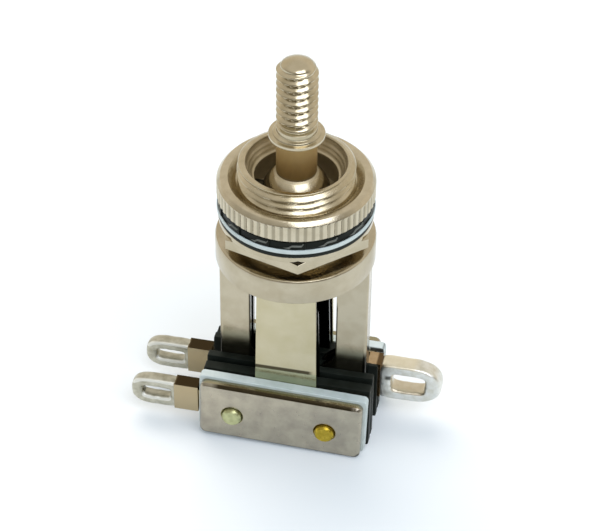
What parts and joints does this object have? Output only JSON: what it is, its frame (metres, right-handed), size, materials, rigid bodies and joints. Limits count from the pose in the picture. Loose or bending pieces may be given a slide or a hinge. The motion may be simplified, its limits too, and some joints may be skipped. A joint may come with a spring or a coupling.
{
  "type": "guitar pickup selector switch",
  "caption": "Open-frame three-position toggle switch with a threaded lever, knurled nut, leaf contacts and solder lugs.",
  "frame": {"origin": "bushing axis, in the plane of the knurled nut's top face", "axes": "+Z out along the upright lever, +X along the contact stack towards the common lug, -Y towards the front clamp plate"},
  "size_m": [0.033, 0.0164, 0.0464],
  "materials": {
    "nickel_plated_steel": "satin nickel plate",
    "nickel_plated_brass": "nickel plate over brass",
    "black_steel": "black phosphate",
    "white_nylon": "satin",
    "black_fibre": "satin",
    "nickel_silver": "rolled spring strip, tinned lugs",
    "brass": "turned",
    "silver": "polished contact silver",
    "steel": "bright",
    "natural_nylon": "moulded"
  },
  "bodies": {
    "switch_body": {"core_spacer": "black_fibre", "fibre_washer": "black_fibre", "flat_washer": "nickel_plated_steel", "frame": "nickel_plated_steel", "front_clamp_plate": "nickel_plated_steel", "front_end_insulator": "white_nylon", "front_inner_spacer": "black_fibre", "front_long_contact": "silver", "front_long_leaf": "nickel_silver", "front_outer_spacer": "black_fibre", "front_short_contact": "silver", "front_short_leaf": "nickel_silver", "hex_nut": "nickel_plated_brass", "knurled_nut": "nickel_plated_brass", "left_screw": "steel", "lock_washer": "black_steel", "pivot_pin": "steel", "rear_clamp_plate": "nickel_plated_steel", "rear_end_insulator": "white_nylon", "rear_inner_spacer": "black_fibre", "rear_long_contact": "silver", "rear_long_leaf": "nickel_silver", "rear_outer_spacer": "black_fibre", "rear_short_contact": "silver", "rear_short_leaf": "nickel_silver", "right_screw": "brass", "threaded_bushing": "nickel_plated_brass", "white_washer": "white_nylon"},
    "lever": {"toggle_lever": "nickel_plated_brass", "actuator_cam": "natural_nylon"}
  },
  "joints": [
    {"name": "lever_tilt", "type": "hinge", "parent": "switch_body", "child": "lever", "pos_m": [0, 0, -0.00225], "axis": [1, 0, 0], "range_deg": [-12, 12], "deforming": ["front_long_leaf", "rear_long_leaf"]}
  ]
}
